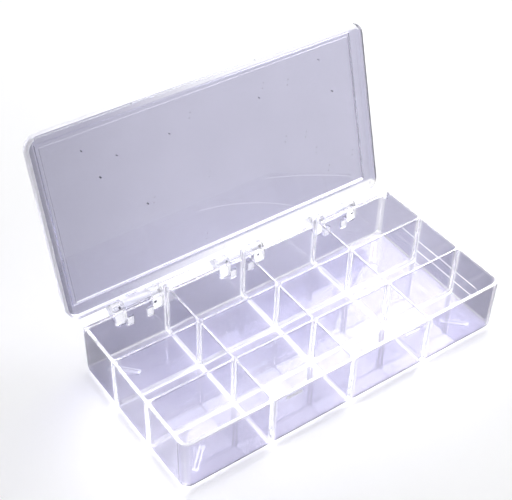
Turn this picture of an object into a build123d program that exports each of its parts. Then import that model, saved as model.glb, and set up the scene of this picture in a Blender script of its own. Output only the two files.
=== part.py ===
from build123d import *
import math
import os

# Clear compartment box with a hinged lid, standing open, in millimetres
# +X runs along the box, +Y points to the hinges and +Z is up
# The origin is the centre of the tray's flat underside

os.makedirs("parts", exist_ok=True)

# Tray, outside sizes at the rim
tray_length = 210.0
tray_depth = 102.6
tray_height = 35.1
tray_wall = 2.0
tray_floor = 1.8
tray_corner_radius = 6.0
tray_lean = 0.5  # each outer wall leans out by this much from base to rim
base_edge_radius = 4.5
rim_round = 0.3
rear_wall_height = 29.4
rear_step_inset = 5.5  # the side walls keep their full height up to this far from the rear face

# Compartments
column_count = 4
row_count = 3
divider_thickness = 1.2  # at the rim
cell_lean = 0.3  # draft of each compartment's sides from floor to rim
cell_corner_radius = 1.5
cell_floor_radius = 1.2
post_width = 3.0  # end post of each long divider, standing above the low rear wall

# Feet under the four corners
foot_length = 16.0
foot_width = 2.6
foot_height = 0.6
foot_edge_radius = 0.25
foot_inset_x = 17.6
foot_inset_y = 15.4

# Lid
lid_wall = 1.5
lid_gap = 0.5  # running gap between the skirt and the tray's walls
lid_panel = 2.0
skirt_overlap = 3.0
lid_corner_radius = 8.0
lid_edge_radius = 0.8
panel_inset = 6.4
panel_rise = 1.6
step_wall = 1.6
step_round = 0.3
open_angle = 106.0

# Catches on the front
catch_spacing = 78.0
catch_length = 9.5
catch_height = 3.2
catch_stand_out = 0.8
catch_drop = 2.9
catch_pocket_depth = 0.6
catch_pocket_margin = 1.75

# Hinges
hinge_spacing = 68.0
barrel_length = 16.0
barrel_radius = 3.0
ear_width = 7.0
ear_radius = 3.6
ear_drop = 8.2
ear_shoulder = 1.0
ear_heel = 1.4
ear_bottom_round = 2.5
ear_side_gap = 0.4
rim_gap = 0.3  # between the ears and the lid's rim
stop_reach = 7.0  # from the hinge axis to the end of the heel
stop_thickness = 2.0
stop_gap = 0.1
neck_thickness = 1.8
neck_lap = 1.5
window_length = 7.5
window_rise = 1.3
window_clearance = 0.1
bracket_width = 4.2
bracket_thickness = 1.4
bracket_height = 6.0
bracket_drop = 5.2
pin_radius = 1.0
pin_clearance = 0.05
pin_recess = 0.4
pin_chamfer = 0.25

pick_margin = 0.01  # half the height of the slice that edges are picked from

# Places that follow from the sizes
half_length = tray_length / 2
half_depth = tray_depth / 2
tray_draft = math.degrees(math.atan(tray_lean / tray_height))
cell_height = tray_height - tray_floor
cell_draft = math.degrees(math.atan(cell_lean / cell_height))
inner_corner_radius = max(tray_corner_radius - tray_wall, cell_corner_radius + cell_lean)
column_pitch = (tray_length - 2 * tray_wall) / column_count
row_pitch = (tray_depth - 2 * tray_wall) / row_count

lid_length = tray_length + 2 * (lid_gap + lid_wall)
lid_depth = tray_depth + 2 * (lid_gap + lid_wall)
lid_height = skirt_overlap + lid_panel
closed_rim_z = tray_height - skirt_overlap

axis_y = half_depth + lid_gap + barrel_radius
axis_z = closed_rim_z - rim_gap - ear_radius
rim_rise = closed_rim_z - axis_z
ear_bottom = axis_z - ear_drop
ear_root = half_depth - tray_wall / 2
bore_radius = pin_radius + pin_clearance
hinge_width = barrel_length + 2 * (ear_side_gap + ear_width)
hinge_centres = {"left": -hinge_spacing, "middle": 0.0, "right": hinge_spacing}

bead_root = -half_depth + tray_wall / 4
bead_z = tray_height - catch_drop
open_sin = math.sin(math.radians(open_angle))
open_cos = math.cos(math.radians(open_angle))
lid_plane = Plane(origin=(0, axis_y, axis_z), x_dir=(1, 0, 0), z_dir=(0, open_sin, open_cos))
lid_axis = Axis((0, axis_y, axis_z), (0, open_sin, open_cos))
skirt_offset = half_depth + lid_gap + lid_wall - axis_y  # rear skirt's outer face, seen from the hinge axis


def divider_lines(count, pitch):
    """Centre lines of the inner dividers, and of the two walls' inner faces at either end."""
    return [pitch * (index - count / 2) for index in range(count + 1)]


def cell_spans(count, pitch):
    """Low and high side of each compartment at the rim, in one direction."""
    lines = divider_lines(count, pitch)
    spans = []
    for index in range(count):
        low_gap = divider_thickness / 2 if index > 0 else 0
        high_gap = divider_thickness / 2 if index < count - 1 else 0
        spans.append((lines[index] + low_gap, lines[index + 1] - high_gap))
    return spans


def yz_plane(x, upright=True):
    """Plane across the hinge at x: upright for the tray, turned with the open lid otherwise."""
    if upright:
        return Plane(origin=(x, 0, 0), x_dir=(0, 1, 0), z_dir=(1, 0, 0))
    return Plane(origin=(x, axis_y, axis_z), x_dir=(0, open_cos, -open_sin), z_dir=(1, 0, 0))


def stop_point(along, below=0.0):
    """Point on the face that the open lid's rear skirt leans on, measured from the hinge axis."""
    lift = -skirt_offset - stop_gap - below
    return (axis_y + along * open_sin - lift * open_cos, axis_z + along * open_cos + lift * open_sin)


# Tray
with BuildPart() as tray:
    # Outer shell, leaning out towards the rim, with a rounded base
    with BuildSketch() as footprint:
        RectangleRounded(
            tray_length - 2 * tray_lean,
            tray_depth - 2 * tray_lean,
            tray_corner_radius - tray_lean,
        )
    extrude(amount=tray_height, taper=-tray_draft)
    fillet(tray.faces().sort_by(Axis.Z)[0].edges(), base_edge_radius)

    # Compartments: what is left between them is the grid of dividers
    with BuildSketch(Plane.XY.offset(tray_floor)):
        for x_low, x_high in cell_spans(column_count, column_pitch):
            for y_low, y_high in cell_spans(row_count, row_pitch):
                with Locations(((x_low + x_high) / 2, (y_low + y_high) / 2)):
                    RectangleRounded(
                        x_high - x_low - 2 * cell_lean,
                        y_high - y_low - 2 * cell_lean,
                        cell_corner_radius,
                    )
        RectangleRounded(
            tray_length - 2 * tray_wall - 2 * cell_lean,
            tray_depth - 2 * tray_wall - 2 * cell_lean,
            inner_corner_radius,
            mode=Mode.INTERSECT,
        )
    extrude(amount=cell_height, taper=-cell_draft, mode=Mode.SUBTRACT)
    floor_edges = tray.edges().filter_by_position(Axis.Z, tray_floor - pick_margin, tray_floor + pick_margin)
    fillet(floor_edges, cell_floor_radius)
    rim_edges = tray.edges().filter_by_position(Axis.Z, tray_height - pick_margin, tray_height + pick_margin)
    fillet(rim_edges, rim_round)

    # Rear wall lowered between the end posts of the long dividers
    step_y = half_depth - rear_step_inset
    lines = divider_lines(column_count, column_pitch)
    with BuildSketch(Plane.XY.offset(rear_wall_height)) as lowered:
        for index in range(column_count):
            first = index == 0
            last = index == column_count - 1
            x_low = -half_length - tray_wall if first else lines[index] + post_width / 2
            x_high = half_length + tray_wall if last else lines[index + 1] - post_width / 2
            with Locations(((x_low + x_high) / 2, (step_y + half_depth + tray_wall) / 2)):
                Rectangle(x_high - x_low, half_depth + tray_wall - step_y)
    extrude(amount=tray_height, mode=Mode.SUBTRACT)

    # Hinge ears on the rear wall, each with a heel that the open lid leans on
    for centre in hinge_centres.values():
        for side in (-1, 1):
            near = centre + side * (barrel_length / 2 + ear_side_gap)
            low_x = min(near, near + side * ear_width)
            with BuildSketch(yz_plane(low_x)) as ear:
                with Locations((axis_y, axis_z)):
                    Circle(ear_radius)
                with BuildLine():
                    Polyline(
                        (ear_root, ear_bottom),
                        (axis_y - barrel_radius + ear_heel, ear_bottom),
                        stop_point(stop_reach, stop_thickness),
                        stop_point(stop_reach),
                        stop_point(0),
                        (axis_y, axis_z + ear_shoulder),
                        (ear_root, axis_z + ear_shoulder),
                        close=True,
                    )
                make_face()
            extrude(amount=ear_width)
    ear_edges = tray.edges().filter_by(Axis.Y)
    fillet(
        ear_edges.filter_by_position(Axis.Z, ear_bottom - pick_margin, ear_bottom + pick_margin),
        ear_bottom_round,
    )

    # Small brackets on the wall at the inner side of each ear
    for centre in hinge_centres.values():
        for side in (-1, 1):
            bracket_x = centre + side * (barrel_length / 2 + ear_side_gap - bracket_width / 2)
            with BuildSketch(Plane.XY.offset(axis_z - bracket_drop - bracket_height)):
                with Locations((bracket_x, ear_root)):
                    Rectangle(
                        bracket_width,
                        half_depth + bracket_thickness - ear_root,
                        align=(Align.CENTER, Align.MIN),
                    )
            extrude(amount=bracket_height)

    # Pin bores through the ears
    for centre in hinge_centres.values():
        with BuildSketch(yz_plane(centre - hinge_width / 2)):
            with Locations((axis_y, axis_z)):
                Circle(bore_radius)
        extrude(amount=hinge_width, mode=Mode.SUBTRACT)

    # Catch beads on the front wall
    for side in (-1, 1):
        with BuildSketch(yz_plane(side * catch_spacing / 2 - catch_length / 2)):
            with BuildLine():
                crown = ThreePointArc(
                    (bead_root, bead_z - catch_height / 2),
                    (-half_depth - catch_stand_out, bead_z),
                    (bead_root, bead_z + catch_height / 2),
                )
                Line(crown @ 1, crown @ 0)
            make_face()
        extrude(amount=catch_length)

    # Feet
    with BuildSketch() as feet:
        for side_x in (-1, 1):
            for side_y in (-1, 1):
                with Locations((side_x * (half_length - foot_inset_x), side_y * (half_depth - foot_inset_y))):
                    SlotOverall(foot_length, foot_width, rotation=45 * side_x * side_y)
    extrude(amount=-foot_height)
    fillet(tray.edges().group_by(Axis.Z)[0], foot_edge_radius)
tray.part.label = "tray"
export_step(tray.part, "parts/tray.step")

# Lid, built where it stands open: its plane is the closed lid's, turned about the hinge axis
with BuildPart() as lid:
    # Panel and skirt
    with BuildSketch(lid_plane.offset(rim_rise)):
        with Locations((0, -axis_y)):
            RectangleRounded(lid_length, lid_depth, lid_corner_radius)
    extrude(amount=lid_height)
    fillet(lid.faces().sort_by(lid_axis)[-1].edges(), lid_edge_radius)
    with BuildSketch(lid_plane.offset(rim_rise)):
        with Locations((0, -axis_y)):
            RectangleRounded(
                lid_length - 2 * lid_wall,
                lid_depth - 2 * lid_wall,
                lid_corner_radius - lid_wall,
            )
    extrude(amount=skirt_overlap, mode=Mode.SUBTRACT)

    # Raised centre, hollow underneath
    with BuildSketch(lid_plane.offset(rim_rise + lid_height)):
        with Locations((0, -axis_y)):
            Rectangle(lid_length - 2 * panel_inset, lid_depth - 2 * panel_inset)
    extrude(amount=panel_rise)
    fillet(lid.faces().sort_by(lid_axis)[-1].edges(), step_round)
    with BuildSketch(lid_plane.offset(rim_rise + skirt_overlap)):
        with Locations((0, -axis_y)):
            Rectangle(
                lid_length - 2 * (panel_inset + step_wall),
                lid_depth - 2 * (panel_inset + step_wall),
            )
    extrude(amount=panel_rise, mode=Mode.SUBTRACT)

    # Pockets in the front skirt that pass over the tray's catch beads
    pocket_y = -axis_y - lid_depth / 2 + lid_wall
    with BuildSketch(lid_plane.offset(rim_rise)):
        for side in (-1, 1):
            with Locations((side * catch_spacing / 2, pocket_y)):
                Rectangle(catch_length + 2 * catch_pocket_margin, 2 * catch_pocket_depth)
    extrude(amount=skirt_overlap, mode=Mode.SUBTRACT)

    # Hinge barrels on their necks
    for centre in hinge_centres.values():
        with BuildSketch(yz_plane(centre - barrel_length / 2, upright=False)):
            Circle(barrel_radius)
            with Locations((-barrel_radius, 0)):
                Rectangle(neck_thickness, rim_rise + neck_lap, align=(Align.MIN, Align.MIN))
        extrude(amount=barrel_length)
    for centre in hinge_centres.values():
        with BuildSketch(yz_plane(centre - window_length / 2, upright=False)):
            with Locations((-barrel_radius, barrel_radius + window_clearance)):
                Rectangle(
                    4 * neck_thickness,
                    rim_rise + window_rise - barrel_radius - window_clearance,
                    align=(Align.CENTER, Align.MIN),
                )
        extrude(amount=window_length, mode=Mode.SUBTRACT)
        with BuildSketch(yz_plane(centre - barrel_length / 2, upright=False)):
            Circle(bore_radius)
        extrude(amount=barrel_length, mode=Mode.SUBTRACT)
lid.part.label = "lid"
export_step(lid.part, "parts/lid.step")

# Hinge pins
for side, centre in hinge_centres.items():
    pin_length = hinge_width - 2 * pin_recess
    with BuildPart() as hinge_pin:
        with BuildSketch(yz_plane(centre - pin_length / 2)):
            with Locations((axis_y, axis_z)):
                Circle(pin_radius)
        extrude(amount=pin_length)
        chamfer(hinge_pin.edges().filter_by(GeomType.CIRCLE), pin_chamfer)
    hinge_pin.part.label = "hinge_pin_" + side
    export_step(hinge_pin.part, "parts/hinge_pin_" + side + ".step")

print("hinge axis y", round(axis_y, 3), "z", round(axis_z, 3))
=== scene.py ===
import math

import bpy
from mathutils import Matrix, Vector


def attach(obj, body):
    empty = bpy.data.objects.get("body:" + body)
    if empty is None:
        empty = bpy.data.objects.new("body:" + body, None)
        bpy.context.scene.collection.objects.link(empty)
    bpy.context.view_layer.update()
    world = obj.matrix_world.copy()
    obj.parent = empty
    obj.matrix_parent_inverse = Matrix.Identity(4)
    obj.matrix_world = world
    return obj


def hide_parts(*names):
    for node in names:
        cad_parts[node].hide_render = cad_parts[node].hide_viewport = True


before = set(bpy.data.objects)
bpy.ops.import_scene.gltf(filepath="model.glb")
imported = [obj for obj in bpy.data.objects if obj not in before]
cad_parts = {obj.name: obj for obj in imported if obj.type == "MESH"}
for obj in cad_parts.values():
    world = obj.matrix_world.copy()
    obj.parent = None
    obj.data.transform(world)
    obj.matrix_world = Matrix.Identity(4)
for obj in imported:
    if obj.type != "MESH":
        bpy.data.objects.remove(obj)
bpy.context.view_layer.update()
print("frame loaded:", len(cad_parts), "nodes")

# Camera, at the photo's viewing angle
camera = {
    "eye": (-0.28596, -0.34978, 0.46727),
    "right": (0.81657, -0.57678, 0.02334),
    "up": (0.36648, 0.54925, 0.75102),
    "back": (-0.44597, -0.60476, 0.65983),
    "lens": 81.13,
    "sensor": 36.0,
    "nearest": 0.01,
    "farthest": 20.0,
}


def makeCamera(values):
    data = bpy.data.cameras.new("camera")
    data.sensor_fit = "HORIZONTAL"
    data.sensor_width = values["sensor"]
    data.lens = values["lens"]
    data.clip_start = values["nearest"]
    data.clip_end = values["farthest"]
    holder = bpy.data.objects.new("camera", data)
    turn = Matrix((values["right"], values["up"], values["back"])).transposed()
    holder.matrix_world = Matrix.Translation(values["eye"]) @ turn.to_4x4()
    bpy.context.scene.collection.objects.link(holder)
    bpy.context.scene.camera = holder


makeCamera(camera)
print("camera ready")


# Small helpers for the node trees
def mathNode(tree, operation, first, second=None):
    made = tree.nodes.new("ShaderNodeMath")
    made.operation = operation
    for socket, value in zip(made.inputs, (first, second)):
        if isinstance(value, (int, float)):
            socket.default_value = value
        elif value is not None:
            tree.links.new(value, socket)
    return made.outputs[0]


def size(tree, value):
    return mathNode(tree, "ABSOLUTE", value)


def opposite(tree, value):
    return mathNode(tree, "SUBTRACT", 1.0, value)


def riseNode(tree, value, low, high):  # 0 below low, 1 above high
    made = tree.nodes.new("ShaderNodeMapRange")
    made.interpolation_type = "SMOOTHSTEP"
    tree.links.new(value, made.inputs["Value"])
    made.inputs["From Min"].default_value = low
    made.inputs["From Max"].default_value = high
    return made.outputs["Result"]


def fallNode(tree, value, low, high):  # 1 below low, 0 above high
    return opposite(tree, riseNode(tree, value, low, high))


def largest(tree, *values):
    found = values[0]
    for value in values[1:]:
        found = mathNode(tree, "MAXIMUM", found, value)
    return found


def product(tree, *values):
    found = values[0]
    for value in values[1:]:
        found = mathNode(tree, "MULTIPLY", found, value)
    return found


def band(tree, value, low, high, soft):  # 1 from low to high
    return product(tree, riseNode(tree, value, low - soft, low), fallNode(tree, value, high, high + soft))


def mixColours(tree, share, first, second):
    made = tree.nodes.new("ShaderNodeMix")
    made.data_type = "RGBA"
    tree.links.new(share, made.inputs["Factor"])
    sockets = [s for s in made.inputs if s.type == "RGBA"]
    for socket, value in zip(sockets, (first, second)):
        if isinstance(value, tuple):
            socket.default_value = value
        else:
            tree.links.new(value, socket)
    return [s for s in made.outputs if s.type == "RGBA"][0]


def along(tree, vector, direction):
    made = tree.nodes.new("ShaderNodeVectorMath")
    made.operation = "DOT_PRODUCT"
    made.inputs[1].default_value = direction
    tree.links.new(vector, made.inputs[0])
    return made.outputs["Value"]


def newFinish(name):
    finish = bpy.data.materials.new(name)
    finish.use_nodes = True
    finish.node_tree.nodes.clear()
    return finish, finish.node_tree


# Floor, world and lamps
studio = {
    "floorSize": 12.0,
    "floorZ": -0.00062,  # just under the feet
    "floorColour": (0.80, 0.80, 0.80, 1),
    "floorGlow": 0.26,
    "worldColour": (0.97, 0.97, 1.0, 1),
    "worldStrength": 0.36,
    "windowPlace": (0.741, 0.481, 0.884),
    "windowSize": (0.85, 0.85),
    "windowPower": 12.5,
    "glarePlace": (0.741, 0.520, 0.850),
    "glareSize": (1.30, 1.05),
    "glarePower": 84.0,
    "glareAcross": (0.23, 0.80),  # where the card goes from dim to bright, from left to right
    "glareDim": 0.10,
    "stripPlace": (0.80, 1.02, 0.17),
    "stripSize": (0.50, 0.34),
    "stripPower": 9.0,
    "aim": (0.0, 0.0, 0.02),
    "bounces": 160,  # light passes many thin walls on its way through the box
    "clearBounces": 32,
}


def backdropRays(tree):  # the rays that see the floor and the world as a white backdrop
    path = tree.nodes.new("ShaderNodeLightPath")
    return largest(
        tree,
        path.outputs["Is Camera Ray"],
        path.outputs["Is Transmission Ray"],
        path.outputs["Is Glossy Ray"],
    )


def makeFloor(values):
    mesh = bpy.data.meshes.new("floor")
    half, height = values["floorSize"] / 2, values["floorZ"]
    corners = [(-half, -half, height), (half, -half, height), (half, half, height), (-half, half, height)]
    mesh.from_pydata(corners, [], [(0, 1, 2, 3)])
    floor = bpy.data.objects.new("floor", mesh)
    bpy.context.scene.collection.objects.link(floor)
    finish, tree = newFinish("paleFloor")
    out = tree.nodes.new("ShaderNodeOutputMaterial")
    diffuse = tree.nodes.new("ShaderNodeBsdfDiffuse")
    diffuse.inputs["Color"].default_value = values["floorColour"]
    glow = tree.nodes.new("ShaderNodeEmission")
    tree.links.new(product(tree, backdropRays(tree), values["floorGlow"]), glow.inputs["Strength"])
    both = tree.nodes.new("ShaderNodeAddShader")
    tree.links.new(diffuse.outputs[0], both.inputs[0])
    tree.links.new(glow.outputs[0], both.inputs[1])
    tree.links.new(both.outputs[0], out.inputs["Surface"])
    mesh.materials.append(finish)


def makeWorld(values):
    world = bpy.data.worlds.new("studio")
    bpy.context.scene.world = world
    world.use_nodes = True
    tree = world.node_tree
    tree.nodes.clear()
    out = tree.nodes.new("ShaderNodeOutputWorld")
    soft = tree.nodes.new("ShaderNodeBackground")
    soft.inputs["Color"].default_value = values["worldColour"]
    soft.inputs["Strength"].default_value = values["worldStrength"]
    white = tree.nodes.new("ShaderNodeBackground")
    white.inputs["Color"].default_value = (1, 1, 1, 1)
    mix = tree.nodes.new("ShaderNodeMixShader")
    tree.links.new(backdropRays(tree), mix.inputs[0])
    tree.links.new(soft.outputs[0], mix.inputs[1])
    tree.links.new(white.outputs[0], mix.inputs[2])
    tree.links.new(mix.outputs[0], out.inputs["Surface"])


def makeLamp(name, place, aim, extent, power, lights=True, mirrored=True, seenThrough=True):
    data = bpy.data.lights.new(name, "AREA")
    data.shape = "RECTANGLE"
    data.size, data.size_y = extent
    data.energy = power
    lamp = bpy.data.objects.new(name, data)
    lamp.rotation_mode = "QUATERNION"
    lamp.rotation_quaternion = (Vector(aim) - Vector(place)).to_track_quat("-Z", "Y")
    lamp.location = place
    lamp.visible_camera = False
    lamp.visible_diffuse = lights  # a card that only mirrors in the plastic lights nothing
    lamp.visible_glossy = mirrored
    lamp.visible_transmission = seenThrough
    bpy.context.scene.collection.objects.link(lamp)
    return data


def dimLeft(data, values):  # the card that mirrors in the floors grows brighter to the right
    data.use_nodes = True
    tree = data.node_tree
    glow = [n for n in tree.nodes if n.type == "EMISSION"][0]
    where = tree.nodes.new("ShaderNodeNewGeometry")
    place = Vector(values["glarePlace"])
    right = Vector((place.y, -place.x, 0)).normalized()
    across = mathNode(tree, "DIVIDE", along(tree, where.outputs["Position"], right), values["glareSize"][0])
    rise = riseNode(tree, mathNode(tree, "ADD", across, 0.5), *values["glareAcross"])
    share = mathNode(tree, "ADD", product(tree, rise, 1 - values["glareDim"]), values["glareDim"])
    tree.links.new(share, glow.inputs["Strength"])


def makeLamps(values):
    makeLamp(
        "windowLight", values["windowPlace"], values["aim"], values["windowSize"], values["windowPower"],
        mirrored=False,
    )
    glare = makeLamp(
        "glareCard", values["glarePlace"], values["aim"], values["glareSize"], values["glarePower"],
        lights=False,
    )
    dimLeft(glare, values)
    makeLamp(
        "stripCard", values["stripPlace"], values["aim"], values["stripSize"], values["stripPower"],
        lights=False, seenThrough=False,
    )


def setBounces(values):
    rays = bpy.context.scene.cycles
    rays.max_bounces = values["bounces"]
    rays.transmission_bounces = values["bounces"]
    rays.glossy_bounces = values["bounces"]
    rays.transparent_max_bounces = values["clearBounces"]


makeFloor(studio)
makeWorld(studio)
makeLamps(studio)
setBounces(studio)
print("studio ready")

# The clear moulded plastic that the tray, the lid and the pins share
plasticLook = {
    "ior": 1.5,
    "sheen": 0.5,
    "gloss": 0.02,
    "shadeSpan": (-0.12, 0.09),  # where the painted shade goes from the deep tint to the pale one
    "cloudShare": 0.20,
    "cloudScale": 35.0,
    "cloudDetail": 3,
    "grainShare": 0.25,
    "grainScale": 900.0,
    "grainDetail": 1,
    "edgeTurn": (0.01, 0.08),
    "litEdge": (0.97, 0.97, 0.98, 1),
    "litSolid": 0.25,
    "litRough": 0.22,
    # the colour of painted shade on edges
    "paintedShadeColour": (0.04, 0.04, 0.06, 1),
    "darkSolid": 0.95,
    "speckScale": 60.0,
    "speckAcross": (1.0, 0.7, 0.0),
    "speckUp": (0.0, 0.8, 1.0),
    "speckPick": (0.93, 0.931),
    "speckSize": (0.010, 0.020),
    "speckShare": 0.6,
    "spotCore": 0.6,
    # the colour of the specks and of the painted shade in the hinge hollows
    "spotColour": (0.10, 0.10, 0.13, 1),
    "spotSolid": 0.9,
    "spotSide": (0.5, -1.0, 1.0),
    "spotTurn": (0.0, 0.2),
    "spotPlane": (1, 1, 1),
    "darkSpots": (),
    "scuffTurn": (0.3, 0.5, 0.9),
    "scuffStretch": (1.0, 0.06, 0.4),
    "scuffScale": 500.0,
    "scuffDetail": 4,
    "scuffSpan": (0.72, 0.77),
    "scuffRough": 0.15,
    "scuffDepth": 0.5,
    "reliefStrength": 0.2,
    "reliefDepth": 0.0001,
}


def placeNodes(tree, place=(0, 0, 0), turn=(0, 0, 0)):
    # the point and the normal, each point coordinate, and how much the normal lies along each axis
    where = tree.nodes.new("ShaderNodeTexCoord")
    point = tree.nodes.new("ShaderNodeMapping")
    point.vector_type = "POINT"
    point.inputs["Location"].default_value = place
    point.inputs["Rotation"].default_value = turn
    tree.links.new(where.outputs["Object"], point.inputs["Vector"])
    normal = tree.nodes.new("ShaderNodeMapping")
    normal.vector_type = "NORMAL"
    normal.inputs["Rotation"].default_value = turn
    tree.links.new(where.outputs["Normal"], normal.inputs["Vector"])
    parts = []
    for vector in (point, normal):
        split = tree.nodes.new("ShaderNodeSeparateXYZ")
        tree.links.new(vector.outputs[0], split.inputs[0])
        parts.append(split.outputs)
    return point.outputs[0], normal.outputs[0], parts[0], [size(tree, part) for part in parts[1]]


def noise(tree, vector, scale, detail):
    made = tree.nodes.new("ShaderNodeTexNoise")
    made.inputs["Scale"].default_value = scale
    made.inputs["Detail"].default_value = detail
    tree.links.new(vector, made.inputs["Vector"])
    return made.outputs["Fac"]


def smallSpecks(tree, look, point):
    flat = tree.nodes.new("ShaderNodeCombineXYZ")
    tree.links.new(along(tree, point, look["speckAcross"]), flat.inputs["X"])
    tree.links.new(along(tree, point, look["speckUp"]), flat.inputs["Y"])
    cells = tree.nodes.new("ShaderNodeTexVoronoi")
    cells.voronoi_dimensions = "2D"
    cells.inputs["Scale"].default_value = look["speckScale"]
    tree.links.new(flat.outputs[0], cells.inputs["Vector"])
    chosen = tree.nodes.new("ShaderNodeSeparateColor")
    tree.links.new(cells.outputs["Color"], chosen.inputs[0])
    picked = riseNode(tree, chosen.outputs[0], *look["speckPick"])
    near = fallNode(tree, cells.outputs["Distance"], *look["speckSize"])
    return product(tree, picked, near, look["speckShare"])


def darkSpot(tree, look, point, centre, radius):
    level = tree.nodes.new("ShaderNodeVectorMath")
    level.operation = "MULTIPLY"
    level.inputs[1].default_value = look["spotPlane"]
    tree.links.new(point, level.inputs[0])
    away = tree.nodes.new("ShaderNodeVectorMath")
    away.operation = "DISTANCE"
    away.inputs[1].default_value = centre
    tree.links.new(level.outputs[0], away.inputs[0])
    return fallNode(tree, away.outputs["Value"], radius * look["spotCore"], radius)


def spotMask(tree, look, point, normal):  # specks, and dark spots that are specks or painted shade, on one side of each wall only
    found = [smallSpecks(tree, look, point)]
    for x, y, z, radius in look["darkSpots"]:
        found.append(darkSpot(tree, look, point, (x, y, z), radius))
    oneSide = riseNode(tree, along(tree, normal, look["spotSide"]), *look["spotTurn"])
    return product(tree, largest(tree, *found), oneSide)


def scuffs(tree, look, point):  # noise stretched into thin streaks
    streaks = tree.nodes.new("ShaderNodeMapping")
    streaks.inputs["Rotation"].default_value = look["scuffTurn"]
    streaks.inputs["Scale"].default_value = look["scuffStretch"]
    tree.links.new(point, streaks.inputs["Vector"])
    lines = noise(tree, streaks.outputs[0], look["scuffScale"], look["scuffDetail"])
    return riseNode(tree, lines, *look["scuffSpan"])


def bodyColour(tree, look, point, clouds, across, spots, masks):
    # a painted shade going from the deep tint to the pale one across each piece, with slow clouds and fine
    # grain; then each part's tint, the painted shade and the painted highlights on the edges, and the specks
    # and dark spots
    grain = noise(tree, point, look["grainScale"], look["grainDetail"])
    shadeShare = 1 - look["cloudShare"] - look["grainShare"]
    shadeAndTone = product(tree, riseNode(tree, across, *look["shadeSpan"]), shadeShare)
    shadeAndTone = mathNode(tree, "ADD", shadeAndTone, product(tree, clouds, look["cloudShare"]))
    shadeAndTone = mathNode(tree, "ADD", shadeAndTone, product(tree, grain, look["grainShare"]))
    colour = mixColours(tree, shadeAndTone, look["tintDeep"], look["tint"])
    for share, tint in masks["tints"]:
        colour = mixColours(tree, share, colour, tint)
    colour = mixColours(tree, masks["paintedShade"], colour, look["paintedShadeColour"])
    colour = mixColours(tree, masks["lit"], colour, look["litEdge"])
    return mixColours(tree, spots, colour, look["spotColour"])


def plasticShader(tree, look, point, normal, across, masks):
    # lit parts are pale, hazy ones are also a little milky, and soft ones blur what is behind them
    glass = tree.nodes.new("ShaderNodeBsdfPrincipled")
    glass.inputs["IOR"].default_value = look["ior"]
    sheen = product(tree, opposite(tree, masks["paintedShade"]), look["sheen"])
    tree.links.new(sheen, glass.inputs["Specular IOR Level"])
    clouds = noise(tree, point, look["cloudScale"], look["cloudDetail"])
    spots = spotMask(tree, look, point, normal)
    colour = bodyColour(tree, look, point, clouds, across, spots, masks)
    tree.links.new(colour, glass.inputs["Base Color"])
    milky = largest(
        tree,
        product(tree, masks["hazy"], look["litSolid"]),
        product(tree, spots, look["spotSolid"]),
        masks["solid"],
    )
    tree.links.new(opposite(tree, milky), glass.inputs["Transmission Weight"])
    scuff = scuffs(tree, look, point)
    rough = product(tree, masks["soft"], look["litRough"])
    rough = mathNode(tree, "ADD", rough, product(tree, scuff, look["scuffRough"]))
    tree.links.new(mathNode(tree, "ADD", look["gloss"], rough), glass.inputs["Roughness"])
    relief = tree.nodes.new("ShaderNodeBump")
    relief.inputs["Strength"].default_value = look["reliefStrength"]
    relief.inputs["Distance"].default_value = look["reliefDepth"]
    height = mathNode(tree, "SUBTRACT", clouds, product(tree, scuff, look["scuffDepth"]))
    tree.links.new(height, relief.inputs["Height"])
    tree.links.new(relief.outputs[0], glass.inputs["Normal"])
    letLightThrough(tree, look, glass)


def letLightThrough(tree, look, glass):  # shadow rays pass the walls and reach the floor
    lets = tree.nodes.new("ShaderNodeBsdfTransparent")
    lets.inputs["Color"].default_value = look["shadowTint"]
    path = tree.nodes.new("ShaderNodeLightPath")
    mix = tree.nodes.new("ShaderNodeMixShader")
    tree.links.new(path.outputs["Is Shadow Ray"], mix.inputs[0])
    tree.links.new(glass.outputs[0], mix.inputs[1])
    tree.links.new(lets.outputs[0], mix.inputs[2])
    out = tree.nodes.new("ShaderNodeOutputMaterial")
    tree.links.new(mix.outputs[0], out.inputs["Surface"])


hingeSpacing = 0.068  # from each hinge to the next, the middle one at x = 0

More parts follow.
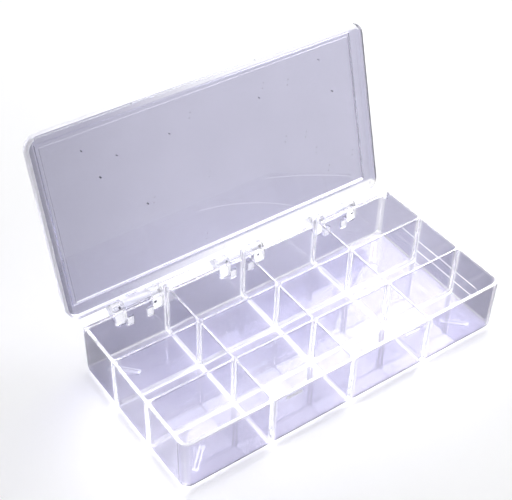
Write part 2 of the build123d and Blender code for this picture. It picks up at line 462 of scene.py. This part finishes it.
# The tray: four columns and three rows of compartments
# a pair of numbers says where a mask starts and where it is full
trayLook = dict(
    plasticLook,
    tint=(0.58, 0.57, 0.70, 1),
    tintDeep=(0.25, 0.245, 0.32, 1),
    # the painted shade deepens away from the rear right corner of the tray; the front and left walls, the
    # dividers and the floor take their own tints over it
    shadeTurn=(1.0, 2.0, 0.0),
    shadeFrom=0.088,
    # painted light on the front wall and the front of the left wall
    frontLitTint=(0.64, 0.63, 0.71, 1),
    frontSide=(-0.047, -0.045),
    leftLitTint=(0.66, 0.65, 0.73, 1),
    leftSide=(-0.099, -0.097),
    leftFrom=(0.0, 0.036),
    dividerTint=(0.90, 0.90, 0.93, 1),
    outerX=(0.1014, 0.1016),
    outerY=(0.0474, 0.0476),
    floorTint=(0.53, 0.52, 0.60, 1),
    floorTop=(0.0022, 0.0026),
    topTint=(0.42, 0.41, 0.50, 1),
    topLit=0.05,
    topEnd=(0.1024, 0.1027),
    dividerSpan=(-0.0487, 0.0455),
    shadowTint=(0.90, 0.90, 0.93, 1),
    soft=0.0003,  # how softly a band starts and ends
    rim=(0.0338, 0.0345),
    rearTop=(0.0289, 0.0292),
    rearTopAcross=(0.0490, 0.0501),
    insideX=(0.1031, 0.1034),
    insideY=(0.0494, 0.0497),
    wallX=(0.1000, 0.1004),
    wallY=(0.0470, 0.0474),
    upright=(0.3, 0.5),
    seamTop=(0.0040, 0.0043),
    seamBottom=(0.0012, 0.0015),
    seamSolid=0.30,
    columnLine=0.0515,
    rowLine=0.0164,
    postHalf=(0.0020, 0.0022),
    postFrom=(0.0466, 0.0470),
    sidePostFrom=(0.0996, 0.1000),
    postRise=(0.0010, 0.0016),
    postMilk=0.4,
    postSoft=0.5,
    underHalf=(0.0013, 0.0017),
    underRise=(0.0013, 0.0017),
    footCentre=(0.0874, 0.0359),
    footBar=(0.0008, 0.0014),
    footLength=(0.0074, 0.0082),
    footCap=0.0006,
    footSoft=0.0002,
    footRise=(0.0019, 0.0021),
    scratches=((-0.0340, 0.0311, 0.0190), (-0.0323, 0.0152, 0.0116)),  # from y, to y, height
    scratchLean=0.52,
    scratchWidth=(0.000275, 0.00055),
    scratchSoft=0.002,
    scratchPlane=(0.1016, 0.1018),
    hingeBack=(0.0516, 0.0520),
    hingeBottom=(0.0120, 0.0128),
    hingeLit=0.70,
    jointFrom=(0.0484, 0.0487),
    jointShift=0.001,  # the ears are seen a little aside through the wall
    earSpan=(0.0083, 0.0153),
    earRise=(0.0214, 0.0220),
    bracketSpan=(0.0043, 0.0084),
    bracketRise=(0.0182, 0.0242),
    catchFrom=(-0.0514, -0.05132),
    catchRise=(0.026, 0.027),
    darkRise=(0.0001, 0.0003),
    darkTop=(0.0036, 0.0042),
    darkTurn=(0.10, 0.25),
    sideView=(0.805, -0.593, 0.0),
    sideTurn=(0.955, 0.975),
    cornerTop=(0.0328, 0.0338),
    cornerDark=0.8,
    darkSpots=(  # x, y, z and radius: two specks in the walls, and painted shade in the hollows at the hinge ears
        (0.0042, -0.0513, 0.0247, 0.0006),
        (-0.0043, -0.0164, 0.0091, 0.0005),
        (-0.0591, 0.0492, 0.0271, 0.0011),
        (0.0099, 0.0492, 0.0276, 0.0011),
        (0.0791, 0.0492, 0.0268, 0.0011),
        (-0.0797, 0.0524, 0.0306, 0.0010),
        (-0.0101, 0.0524, 0.0300, 0.0010),
        (0.0572, 0.0524, 0.0297, 0.0010),
    ),
)


def postMasks(tree, look, farX, farY, z, inside):
    # painted highlights: the dividers end in pale upright posts at the walls, and their base lines show pale
    # through the floor
    fromSideColumn = size(tree, mathNode(tree, "SUBTRACT", farX, look["columnLine"]))
    fromColumn = mathNode(tree, "MINIMUM", farX, fromSideColumn)
    fromRow = size(tree, mathNode(tree, "SUBTRACT", farY, look["rowLine"]))
    column = product(
        tree, fallNode(tree, fromColumn, *look["postHalf"]), riseNode(tree, farY, *look["postFrom"]),
    )
    row = product(
        tree, fallNode(tree, fromRow, *look["postHalf"]), riseNode(tree, farX, *look["sidePostFrom"]),
    )
    posts = product(tree, largest(tree, column, row), riseNode(tree, z, *look["postRise"]))
    lines = fallNode(tree, mathNode(tree, "MINIMUM", fromColumn, fromRow), *look["underHalf"])
    under = product(tree, lines, fallNode(tree, z, *look["underRise"]), inside)
    return posts, under


def feetMask(tree, look, farX, farY, z):
    # painted highlight: the floor is paler over the rounded sides of the four diagonal feet
    footX = mathNode(tree, "SUBTRACT", farX, look["footCentre"][0])
    footY = mathNode(tree, "SUBTRACT", farY, look["footCentre"][1])
    lengthwise = product(tree, size(tree, mathNode(tree, "ADD", footX, footY)), math.sqrt(0.5))
    sideways = product(tree, size(tree, mathNode(tree, "SUBTRACT", footX, footY)), math.sqrt(0.5))
    inner, outer = look["footBar"]
    straight, end = look["footLength"]
    soft = look["footSoft"]
    sides = product(tree, band(tree, sideways, inner, outer, soft), fallNode(tree, lengthwise, straight, end))
    caps = product(
        tree,
        band(tree, lengthwise, straight - look["footCap"], end, soft),
        fallNode(tree, sideways, outer, outer + soft),
    )
    return product(tree, largest(tree, sides, caps), fallNode(tree, z, *look["footRise"]))


def scratchMask(tree, look, point, x, y):
    # two long shallow scratches in the right wall
    lean, wall = look["scratchLean"], look["scratchPlane"][0]
    side = riseNode(tree, x, *look["scratchPlane"])
    found = []
    for start, end, height in look["scratches"]:
        fromLine = mathNode(tree, "SUBTRACT", along(tree, point, (lean, 0, 1)), height + lean * wall)
        line = fallNode(tree, size(tree, fromLine), *look["scratchWidth"])
        found.append(product(tree, line, band(tree, y, start, end, look["scratchSoft"]), side))
    return largest(tree, *found)


def hingeMasks(tree, look, x, y, z, turned):
    # painted highlights on the hinge ears and their webs behind the rear wall
    rounded = mathNode(tree, "ADD", look["hingeLit"], product(tree, turned, 1 - look["hingeLit"]))
    behind = riseNode(tree, y, *look["hingeBack"])
    hinges = product(tree, behind, riseNode(tree, z, *look["hingeBottom"]), rounded)
    # the rear wall is painted pale in front of the ears and their brackets, as painted light where the ears
    # show through it
    seen = size(tree, mathNode(tree, "ADD", x, look["jointShift"]))
    fromHinge = mathNode(tree, "MINIMUM", seen, size(tree, mathNode(tree, "SUBTRACT", seen, hingeSpacing)))
    soft = look["soft"]
    ears = product(tree, band(tree, fromHinge, *look["earSpan"], soft), riseNode(tree, z, *look["earRise"]))
    brackets = product(
        tree, band(tree, fromHinge, *look["bracketSpan"], soft), band(tree, z, *look["bracketRise"], soft),
    )
    joints = product(tree, largest(tree, ears, brackets), riseNode(tree, y, *look["jointFrom"]))
    return hinges, joints


def paintedShadeMask(tree, look, normal, z, outside):
    # painted shade on the outer base round and on the two upright corners at the sides
    down = along(tree, normal, (0, 0, -1))
    base = product(
        tree, riseNode(tree, z, *look["darkRise"]), fallNode(tree, z, *look["darkTop"]),
        outside, riseNode(tree, down, *look["darkTurn"]),
    )
    sideways = riseNode(tree, size(tree, along(tree, normal, look["sideView"])), *look["sideTurn"])
    corners = product(tree, sideways, outside, fallNode(tree, z, *look["cornerTop"]), look["cornerDark"])
    return largest(tree, base, corners)


def trayTints(tree, look, x, y, z, farX, farY, tops):
    # painted light: the front wall and the front of the left wall are paler than the far walls; the dividers
    # are paler, partly for their thinness and partly as painted light; the floor lies between
    outX, outY = riseNode(tree, farX, *look["outerX"]), riseNode(tree, farY, *look["outerY"])
    left = product(tree, fallNode(tree, x, *look["leftSide"]), fallNode(tree, y, *look["leftFrom"]))
    return (
        (left, look["leftLitTint"]),
        (fallNode(tree, y, *look["frontSide"]), look["frontLitTint"]),
        (opposite(tree, largest(tree, outX, outY)), look["dividerTint"]),
        (fallNode(tree, z, *look["floorTop"]), look["floorTint"]),
        (tops, look["topTint"]),
    )


def trayPlastic(look):
    finish, tree = newFinish("trayPlastic")
    point, normal, (x, y, z), (nx, ny, nz) = placeNodes(tree)
    farX, farY = size(tree, x), size(tree, y)
    turned = riseNode(tree, opposite(tree, largest(tree, nx, ny, nz)), *look["edgeTurn"])
    inside = product(tree, fallNode(tree, farX, *look["insideX"]), fallNode(tree, farY, *look["insideY"]))
    # painted highlights on the rims of the outer wall and of the lower rear wall; the tops of the dividers
    # stay glassy
    high = riseNode(tree, z, *look["rim"])
    tops = product(
        tree, high, fallNode(tree, farX, *look["topEnd"]), band(tree, y, *look["dividerSpan"], look["soft"]),
    )
    rim = product(tree, high, opposite(tree, product(tree, tops, 1 - look["topLit"])))
    rearTop = product(
        tree, riseNode(tree, z, *look["rearTop"]), band(tree, y, *look["rearTopAcross"], look["soft"]),
    )
    # painted highlights on the rounded seams, upright corners and the roots of the dividers inside the
    # compartments
    low = fallNode(tree, z, *look["seamTop"])
    roots = product(
        tree, fallNode(tree, nz, *look["upright"]), low,
        fallNode(tree, farX, *look["wallX"]), fallNode(tree, farY, *look["wallY"]),
    )
    seams = product(tree, largest(tree, turned, roots), inside, riseNode(tree, z, *look["seamBottom"]))
    floorSeams = product(tree, seams, low)
    posts, under = postMasks(tree, look, farX, farY, z, inside)
    feet = feetMask(tree, look, farX, farY, z)
    scratched = scratchMask(tree, look, point, x, y)
    hinges, joints = hingeMasks(tree, look, x, y, z, turned)
    # painted highlights on the catch bumps at the front wall's top
    catches = product(tree, fallNode(tree, y, *look["catchFrom"]), riseNode(tree, z, *look["catchRise"]))
    # the posts are clearer than the seams, and never take the painted shade
    clear = opposite(tree, posts)
    edges = largest(tree, rim, rearTop, hinges, catches)
    hazy = largest(tree, edges, product(tree, seams, clear), product(tree, posts, look["postMilk"]))
    soft = largest(
        tree, edges, product(tree, floorSeams, clear),
        product(tree, largest(tree, seams, posts), look["postSoft"]),
    )
    paintedShade = product(tree, paintedShadeMask(tree, look, normal, z, opposite(tree, inside)), clear)
    masks = {
        "lit": largest(tree, hazy, posts, under, joints, feet, scratched),
        "hazy": hazy,
        "soft": soft,
        "paintedShade": paintedShade,
        "solid": largest(
            tree, product(tree, floorSeams, clear, look["seamSolid"]), product(tree, paintedShade, look["darkSolid"]),
        ),
        "tints": trayTints(tree, look, x, y, z, farX, farY, tops),
    }
    across = mathNode(tree, "SUBTRACT", along(tree, point, look["shadeTurn"]), look["shadeFrom"])
    plasticShader(tree, look, point, normal, across, masks)
    return finish


# The lid: its masks are laid out in its closed place, level on the tray
lidLook = dict(
    plasticLook,
    closedPlace=(0, 0.097012, -0.016707),
    closedTurn=(math.radians(106), 0, 0),
    tint=(0.56, 0.55, 0.68, 1),
    tintDeep=(0.37, 0.365, 0.46, 1),
    # the lid's painted shade deepens towards its left end
    shadeSpan=(-0.12, -0.01),
    # painted light and shade on the flanges
    flangeLitTint=(0.92, 0.92, 0.97, 1),
    flangeSpan=(-0.07, 0.03),
    hingeFlangeLitTint=(0.97, 0.97, 0.99, 1),
    hingeFlangeSpan=(-0.09, 0.03),
    leftFlangeShadeTint=(0.30, 0.295, 0.37, 1),
    leftFlangeSpan=(-0.1023, -0.1019),
    shadowTint=(0.68, 0.68, 0.76, 1),
    stepX=(0.1015, 0.1019),
    stepY=(0.0478, 0.0482),
    bottom=(0.0322, 0.0326),
    upright=(0.4, 0.8),
    crispTurn=(0.05, 0.15),
    longSides=(-0.1, 0.3),
    rightHalf=(0.0, 0.01),
    litSolid=0.28,
    litRough=0.30,
    paintedShadeColour=(0.12, 0.12, 0.15, 1),
    darkSolid=0.6,
    outerRound=(0.0364, 0.0366),
    outerTop=(0.0371, 0.0373),
    outerDark=0.85,
    rightEnd=(0.1058, 0.1063),
    rightRise=(0.0328, 0.0332),
    rightDark=0.9,
    barrelFrom=(0.0532, 0.0536),
    barrelHaze=0.35,
    hairlines=(  # y = height + slope x + bend x x, from x, to x
        (0.0259, 0.232, 3.45, -0.012, 0.042),
        (0.0137, 0.168, 1.51, 0.034, 0.088),
    ),
    hairWidth=(0.00015, 0.00040),
    hairSoft=0.006,
    hairRise=(0.0372, 0.0376),
    hairLit=0.5,
    speckPick=(0.80, 0.801),
    spotSide=(0.2, 0.0, -1.0),
    spotPlane=(1, 1, 0),
    darkSpots=(  # x, y, no height, and radius
        (-0.0691, -0.0176, 0, 0.0006),
        (-0.0453, 0.0071, 0, 0.0005),
        (-0.0247, -0.0269, 0, 0.0004),
        (0.0346, -0.0280, 0, 0.0004),
        (0.0777, -0.0371, 0, 0.0004),
        (0.0847, -0.0158, 0, 0.0005),
        (-0.0764, -0.0352, 0, 0.0004),
        (-0.0574, -0.0260, 0, 0.0004),
    ),
)


def hairMask(tree, look, x, y, z):
    # two long curved hairlines in the panel, on its inner face
    found = []
    for height, slope, bend, start, end in look["hairlines"]:
        curve = mathNode(tree, "ADD", product(tree, x, bend), slope)
        curve = mathNode(tree, "ADD", product(tree, x, curve), height)
        line = fallNode(tree, size(tree, mathNode(tree, "SUBTRACT", y, curve)), *look["hairWidth"])
        found.append(product(tree, line, band(tree, x, start, end, look["hairSoft"])))
    return product(tree, largest(tree, *found), fallNode(tree, z, *look["hairRise"]), look["hairLit"])


def lidPlastic(look):
    finish, tree = newFinish("lidPlastic")
    point, normal, (x, y, z), (nx, ny, nz) = placeNodes(tree, look["closedPlace"], look["closedTurn"])
    turn = opposite(tree, largest(tree, nx, ny, nz))
    turned = riseNode(tree, turn, *look["edgeTurn"])
    within = fallNode(tree, size(tree, x), *look["stepX"])
    beyond = opposite(tree, within)
    far = fallNode(tree, y, -look["stepY"][1], -look["stepY"][0])
    # edges that face the long sides catch the light, those that face the ends stay darker
    endFaces = fallNode(tree, mathNode(tree, "SUBTRACT", ny, nx), *look["longSides"])
    crisp = product(tree, riseNode(tree, turn, *look["crispTurn"]), endFaces, within)
    # so do the outer round of the flange and the outer corner of the rim at the right end
    outer = product(
        tree, turned, riseNode(tree, z, *look["outerRound"]), largest(tree, beyond, far),
        fallNode(tree, z, *look["outerTop"]), look["outerDark"],
    )
    rightEnd = product(
        tree, riseNode(tree, x, *look["rightEnd"]), fallNode(tree, z, *look["rightRise"]), look["rightDark"],
    )
    paintedShade = largest(tree, crisp, outer, rightEnd)
    ends = product(tree, endFaces, beyond, riseNode(tree, x, *look["rightHalf"]))
    edges = largest(
        tree, turned, fallNode(tree, nz, *look["upright"]), fallNode(tree, z, *look["bottom"]),
    )
    lit = product(
        tree, edges,
        opposite(tree, largest(tree, paintedShade, ends)),
        opposite(tree, product(tree, within, endFaces)),
    )
    # the hinge barrels stay glassy
    barrels = product(tree, riseNode(tree, y, *look["barrelFrom"]), 1 - look["barrelHaze"])
    # painted light: the flanges along the far side and the hinge side turn paler towards the right, and
    # painted shade makes the left one deeper
    near = riseNode(tree, y, *look["stepY"])
    tints = (
        (product(tree, far, riseNode(tree, x, *look["flangeSpan"])), look["flangeLitTint"]),
        (product(tree, near, riseNode(tree, x, *look["hingeFlangeSpan"])), look["hingeFlangeLitTint"]),
        (fallNode(tree, x, *look["leftFlangeSpan"]), look["leftFlangeShadeTint"]),
    )
    masks = {
        "lit": largest(tree, lit, hairMask(tree, look, x, y, z)),
        "hazy": product(tree, lit, opposite(tree, barrels)),
        "soft": lit,
        "paintedShade": paintedShade,
        "solid": product(tree, paintedShade, look["darkSolid"]),
        "tints": tints,
    }
    plasticShader(tree, look, point, normal, x, masks)
    return finish


pinLook = dict(
    plasticLook,
    tint=(0.88, 0.88, 0.94, 1),
    tintDeep=(0.78, 0.78, 0.86, 1),
    gloss=0.05,
    shadowTint=(0.85, 0.85, 0.90, 1),
    endTurn=(0.2, 0.6),
    darkEnds=(0.0132, 0.0151),
    endSoft=0.0002,
)


def pinPlastic(look):
    finish, tree = newFinish("pinPlastic")
    point, normal, place, turns = placeNodes(tree)
    x, nx = place[0], turns[0]
    # painted shade on their right ends, where they are seen through the ears
    start, end = look["darkEnds"]
    ends = [
        band(tree, x, middle + start, middle + end, look["endSoft"])
        for middle in (-hingeSpacing, 0.0, hingeSpacing)
    ]
    paintedShade = largest(tree, *ends)
    lit = product(tree, riseNode(tree, nx, *look["endTurn"]), opposite(tree, paintedShade))
    masks = {
        "lit": lit,
        "hazy": lit,
        "soft": lit,
        "paintedShade": paintedShade,
        "solid": product(tree, paintedShade, look["darkSolid"]),
        "tints": (),
    }
    plasticShader(tree, look, point, normal, x, masks)
    return finish


pinFinish = pinPlastic(pinLook)
finishes = {"tray": trayPlastic(trayLook), "lid": lidPlastic(lidLook)}
for name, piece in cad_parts.items():
    piece.data.materials[0] = finishes.get(name, pinFinish)
print("materials ready")

# The three hinge pins, one chamfered rod repeated along the hinge line
pinSizes = {
    "Length": 0.030,
    "Radius": 0.001,
    "Chamfer": 0.0003,
    "Spacing": hingeSpacing,
    "Back": 0.0548,
    "Height": 0.0282,
    "Pins": 3,
    "Sides": 32,
}


def combine(tree, x, y=None, z=None):
    made = tree.nodes.new("ShaderNodeCombineXYZ")
    for socket, value in zip(made.inputs, (x, y, z)):
        if value is not None:
            tree.links.new(value, socket)
    return made.outputs[0]


def rodNodes(tree, given):
    # four spine points: the two ends, and where each chamfer starts
    spinePoints = 4
    spine = tree.nodes.new("GeometryNodeCurvePrimitiveLine")
    points = tree.nodes.new("GeometryNodeResampleCurve")
    points.inputs["Count"].default_value = spinePoints
    tree.links.new(spine.outputs[0], points.inputs["Curve"])
    index = tree.nodes.new("GeometryNodeInputIndex").outputs[0]
    fromMiddle = mathNode(tree, "SUBTRACT", index, (spinePoints - 1) / 2)
    inner = mathNode(tree, "LESS_THAN", size(tree, fromMiddle), 1.0)
    half = mathNode(tree, "MULTIPLY", given["Length"], 0.5)
    reach = mathNode(tree, "SUBTRACT", half, mathNode(tree, "MULTIPLY", inner, given["Chamfer"]))
    x = mathNode(tree, "MULTIPLY", mathNode(tree, "SIGN", fromMiddle), reach)
    shape = tree.nodes.new("GeometryNodeSetPosition")
    tree.links.new(points.outputs[0], shape.inputs["Geometry"])
    tree.links.new(combine(tree, x), shape.inputs["Position"])
    narrow = mathNode(tree, "MULTIPLY", opposite(tree, inner), given["Chamfer"])
    share = mathNode(tree, "DIVIDE", mathNode(tree, "SUBTRACT", given["Radius"], narrow), given["Radius"])
    taper = tree.nodes.new("GeometryNodeSetCurveRadius")
    tree.links.new(shape.outputs[0], taper.inputs["Curve"])
    tree.links.new(share, taper.inputs["Radius"])
    ring = tree.nodes.new("GeometryNodeCurvePrimitiveCircle")
    tree.links.new(given["Sides"], ring.inputs["Resolution"])
    tree.links.new(given["Radius"], ring.inputs["Radius"])
    rod = tree.nodes.new("GeometryNodeCurveToMesh")
    rod.inputs["Fill Caps"].default_value = True
    tree.links.new(taper.outputs[0], rod.inputs["Curve"])
    tree.links.new(ring.outputs[0], rod.inputs["Profile Curve"])
    if "Scale" in rod.inputs:
        radius = tree.nodes.new("GeometryNodeInputRadius")
        tree.links.new(radius.outputs[0], rod.inputs["Scale"])
    return rod


def pinsTree(values, finish):
    tree = bpy.data.node_groups.new("hingePinRow", "GeometryNodeTree")
    tree.interface.new_socket("Geometry", in_out="OUTPUT", socket_type="NodeSocketGeometry")
    for name, value in values.items():
        kind = "NodeSocketInt" if isinstance(value, int) else "NodeSocketFloat"
        tree.interface.new_socket(name, in_out="INPUT", socket_type=kind)
    given = tree.nodes.new("NodeGroupInput").outputs
    result = tree.nodes.new("NodeGroupOutput")
    rod = rodNodes(tree, given)
    # the row of pins along the hinge line
    span = mathNode(tree, "MULTIPLY", mathNode(tree, "SUBTRACT", given["Pins"], 1.0), given["Spacing"])
    start = combine(tree, mathNode(tree, "MULTIPLY", span, -0.5), given["Back"], given["Height"])
    row = tree.nodes.new("GeometryNodeMeshLine")
    tree.links.new(given["Pins"], row.inputs["Count"])
    tree.links.new(start, row.inputs["Start Location"])
    tree.links.new(combine(tree, given["Spacing"]), row.inputs["Offset"])
    repeat = tree.nodes.new("GeometryNodeInstanceOnPoints")
    tree.links.new(row.outputs[0], repeat.inputs["Points"])
    tree.links.new(rod.outputs[0], repeat.inputs["Instance"])
    real = tree.nodes.new("GeometryNodeRealizeInstances")
    tree.links.new(repeat.outputs[0], real.inputs[0])
    coat = tree.nodes.new("GeometryNodeSetMaterial")
    coat.inputs["Material"].default_value = finish
    tree.links.new(real.outputs[0], coat.inputs["Geometry"])
    tree.links.new(coat.outputs[0], result.inputs[0])
    return tree


def makePins(values, finish):
    tree = pinsTree(values, finish)
    pins = bpy.data.objects.new("hingePins", bpy.data.meshes.new("hingePins"))
    bpy.context.scene.collection.objects.link(pins)
    modifier = pins.modifiers.new("pins", "NODES")
    modifier.node_group = tree
    for socket in tree.interface.items_tree:
        if socket.in_out == "INPUT":
            modifier[socket.identifier] = values[socket.name]
    graph = bpy.context.evaluated_depsgraph_get()
    solid = bpy.data.meshes.new_from_object(pins.evaluated_get(graph), depsgraph=graph)
    pins.modifiers.clear()
    pins.data = solid
    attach(pins, "tray")
    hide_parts("hinge_pin_left", "hinge_pin_middle", "hinge_pin_right")
    return pins


pinRow = makePins(pinSizes, pinFinish)
print("hinge pins ready:", len(pinRow.data.polygons), "faces")

bpy.context.scene.view_settings.view_transform = "Standard"
